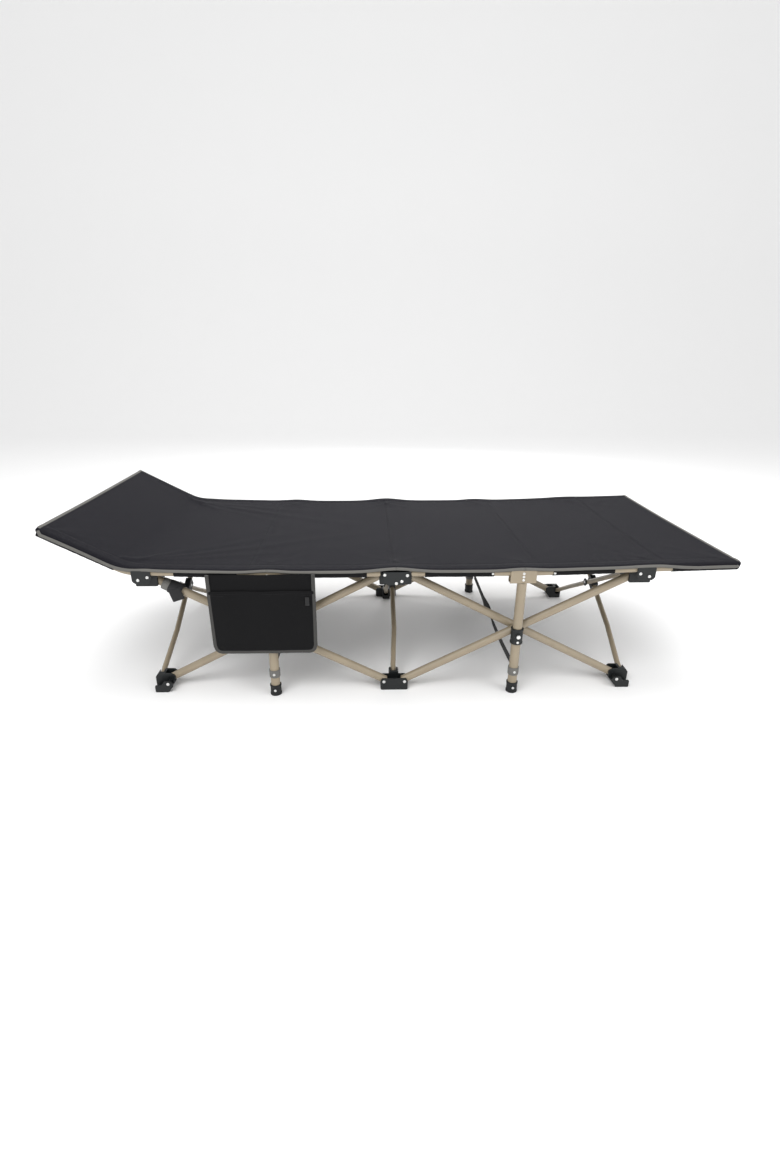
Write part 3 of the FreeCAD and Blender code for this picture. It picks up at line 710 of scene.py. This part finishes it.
for side, sign in SIDES.items():
    for end, way in ENDS.items():
        turn = np.linspace(0, 2 * math.pi, 40, endpoint=False)
        ring_r = LEG_R + 0.0014
        ring = np.stack([way * LEG_X + ring_r * np.cos(turn), sign * LEG_Y + ring_r * np.sin(turn),
                         np.full(len(turn), STRAP_Z)], -1)
        outward = np.stack([np.cos(turn), np.sin(turn), np.zeros(len(turn))], -1)
        loop = sweep(f"strap_loop_{side}_{end}", ring, outward, oval(STRAP_WIDTH, 0.0022), PALE_STRAP,
                     closed_path=True)
        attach(loop, f"{side}_{end}_leg")

# the closing strap, wound round the front head-end bar beside its hub
bar_joint = Vector(JOINTS["front_head_upper_hub_level"]["pos_m"])
bar_down = (Vector((-LEG_X, bar_joint.y, CROSS_Z)) - bar_joint).normalized()
wound = []
for index, (distance, width, extra, look) in enumerate(((0.040, 0.024, 0.0022, PALE_STRAP),
                                                         (0.066, 0.038, 0.0046, STRAP))):
    centre = bar_joint + bar_down * distance
    side_way = Vector((0, 1, 0))
    up_way = bar_down.cross(side_way)
    turn = np.linspace(0, 2 * math.pi, 36, endpoint=False)
    r = BAR_R + extra
    lobe = 1 + 0.16 * np.clip(-np.cos(turn), 0, 1) ** 3 + 0.22 * np.clip(-np.sin(turn), 0, 1) ** 3
    ring = np.array([centre + side_way * r * l * math.cos(a) + up_way * r * l * math.sin(a)
                     for a, l in zip(turn, lobe)])
    outward = unit(ring - np.array(centre))
    wound.append(sweep(f"closing_strap_{index}", ring, outward, oval(width, 0.0034), look, closed_path=True))
tail_start = bar_joint + bar_down * 0.066 + Vector((0, -BAR_R - 0.0065, 0.004))
tail = np.array([tail_start + Vector((0.010 * k, -0.001 - 0.001 * math.sin(3 * k), -0.034 * k))
                 for k in np.linspace(0, 1, 10)])
wound.append(sweep("closing_strap_tail", tail, np.broadcast_to([0.1, -1.0, 0.0], tail.shape),
                   oval(0.034, 0.0026), STRAP))
for piece in wound:
    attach(piece, "front_head_outer_bar")

# ---------------------------------------------------------------- rivets


def rivet_mesh(name, places, body, radius=0.0045, height=0.0022):
    """Domed rivet heads at (point, outward direction) places, all on one body."""
    points, faces, uvs = [], [], []
    steps = 18
    profile = ((1.0, -0.4), (1.0, 0.25), (0.92, 0.55), (0.7, 0.82), (0.4, 0.96), (0.0, 1.0))
    for point, outward in places:
        outward = Vector(outward).normalized()
        side_way = outward.orthogonal().normalized()
        up_way = outward.cross(side_way)
        start = len(points)
        for r, h in profile:
            for k in range(steps):
                a = 2 * math.pi * k / steps
                points.append(Vector(point) + side_way * radius * r * math.cos(a)
                              + up_way * radius * r * math.sin(a) + outward * height * h)
        faces += grid_faces(len(profile), steps, wrap=True, start=start).tolist()
    piece = make_mesh(name, [tuple(p) for p in points], faces, STEEL, np.zeros((len(points), 2)))
    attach(piece, body)
    return piece


COLLAR_R = 0.0172                 # from a leg's axis to its collar's lower rivet


def face_y(node, sign):
    low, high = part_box(node)
    return high.y if sign > 0 else low.y


for side, sign in SIDES.items():
    out = (0, sign, 0)
    hub = f"{side}_middle_lower_hub"
    y = face_y(hub, sign)
    rivet_mesh(f"rivets_{hub}", [((way * REACH, y, LOW_Z), out) for way in (-1, 1)], hub, 0.0050)
    hub = f"{side}_middle_upper_hub"
    y = face_y(hub, sign)
    rivet_mesh(f"rivets_{hub}", [((dx, y, HIGH_Z + dz), out) for dx, dz in
                                 ((-0.031, 0.020), (0.031, 0.018), (0.016, 0.001), (0.001, -0.005))], hub)
    for end, way in ENDS.items():
        name = f"{side}_{end}_"
        hub = name + "lower_hub"
        rivet_mesh(f"rivets_{hub}", [((way * (HUB_X - REACH), face_y(hub, sign), LOW_Z), out)], hub, 0.0050)
        hub = name + "upper_hub"
        y = face_y(hub, sign)
        rivet_mesh(f"rivets_{hub}", [((way * (HUB_X - u), y, HIGH_Z + dz), out) for u, dz in
                                     ((0.030, 0.018), (0.004, 0.010))], hub)
        tee_y = face_y(name + "leg_tee", sign)
        foot_y = face_y(name + "leg_foot", sign)
        loop_y = sign * (LEG_Y + LEG_R + 0.0025)
        x = way * LEG_X
        rivet_mesh(f"rivets_{name}leg",
                   [((x, tee_y, RAIL_Z - dz), out) for dz in (0.000, 0.0095, 0.019)]
                   + [((x, foot_y - sign * 0.0008, 0.018), out), ((x, loop_y, STRAP_Z), out)],
                   name + "leg", 0.0040)
        collar = name + "leg_collar"
        low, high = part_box(name + "lock_button")
        seat_y = sign * (LEG_Y + COLLAR_R)
        rivet_mesh(f"rivets_{collar}", [((x, seat_y, CROSS_Z - 0.024), out)], collar, 0.0040)
        for rail, s in (("inner_rail", way * (LEG_X - BARE_AT_LEG - 0.004)),
                        ("end_rail", way * (LEG_X + BARE_AT_LEG + 0.004))):
            rivet_mesh(f"rivets_{name}{rail}", [((s, sign * (LEG_Y + RAIL_R + 0.0012), RAIL_Z), out)],
                       name + rail, 0.0034, 0.0016)
for where in ("head", "middle", "foot"):
    x = {"head": -HUB_X, "middle": 0.0, "foot": HUB_X}[where]
    low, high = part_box(where + "_brace_block")
    rivet_mesh(f"rivets_{where}_brace_block",
               [((high.x, 0, CROSS_Z), (1, 0, 0)), ((low.x, 0, CROSS_Z), (-1, 0, 0))],
               where + "_rising_brace", 0.0045)

# ---------------------------------------------------------------- stage


def stage_material(name, color, roughness):
    n = Nodes(name)
    mottle = n.noise(n.coords.outputs["Object"], 3.0)
    return n.finish(Base_Color=n.blend(n.spread(mottle, 0.0, 1.0), shade(color, 0.995), shade(color, 1.0)),
                    Roughness=roughness)


def studio():
    """A paper floor that curves up into a backdrop, four soft lamps and an even sky."""
    half_width, front_y, cove_y, cove_r, top_z, steps = 9.0, -6.0, 5.0, 3.0, 6.0, 20
    cove = [(cove_y + cove_r * math.sin(a), cove_r - cove_r * math.cos(a))
            for a in np.linspace(0, math.pi / 2, steps)]
    path = [(front_y, 0.0)] + cove + [(cove_y + cove_r, top_z)]
    points = [(x, y, z) for x in (-half_width, half_width) for y, z in path]
    floor = make_mesh("studio_floor", points, grid_faces(2, len(path), flip=True),
                      stage_material("studio_paper", (0.97, 0.97, 0.97), 0.9))
    for name, place, size, power, aim in (("key", (-1.6, -2.6, 3.4), 2.6, 78, (0, 0, 0.3)),
                                          ("fill", (2.8, -2.2, 2.2), 2.4, 36, (0.2, 0, 0.3)),
                                          ("top", (0.2, 0.6, 3.6), 3.4, 62, (0, 0, 0.3)),
                                          ("rim", (0.5, 3.2, 2.0), 2.4, 26, (0, 0, 0.3))):
        light = bpy.data.lights.new(name, "AREA")
        light.shape, light.size, light.energy = "DISK", size, power
        lamp = bpy.data.objects.new(name, light)
        lamp.location = place
        lamp.rotation_euler = (Vector(aim) - Vector(place)).to_track_quat("-Z", "Y").to_euler()
        bpy.context.scene.collection.objects.link(lamp)
    world = bpy.data.worlds.new("studio_world")
    world.use_nodes = True
    world.node_tree.nodes["Background"].inputs["Color"].default_value = (1, 1, 1, 1)
    world.node_tree.nodes["Background"].inputs["Strength"].default_value = 0.78
    bpy.context.scene.world = world
    bpy.context.scene.view_settings.view_transform = "Standard"


def camera():
    """A lens a little above the cot's near side, looking down at it."""
    pitch, yaw, roll = math.radians(22.34), math.radians(1.33), math.radians(-0.06)
    data = bpy.data.cameras.new("camera")
    data.sensor_width, data.lens, data.shift_x = 36.0, 17.85, 0.0101
    view = bpy.data.objects.new("camera", data)
    view.location = (-0.084, -1.874, 0.960)
    view.rotation_euler = (math.pi / 2 - pitch, roll, -yaw)
    bpy.context.scene.collection.objects.link(view)
    bpy.context.scene.camera = view


studio()
camera()
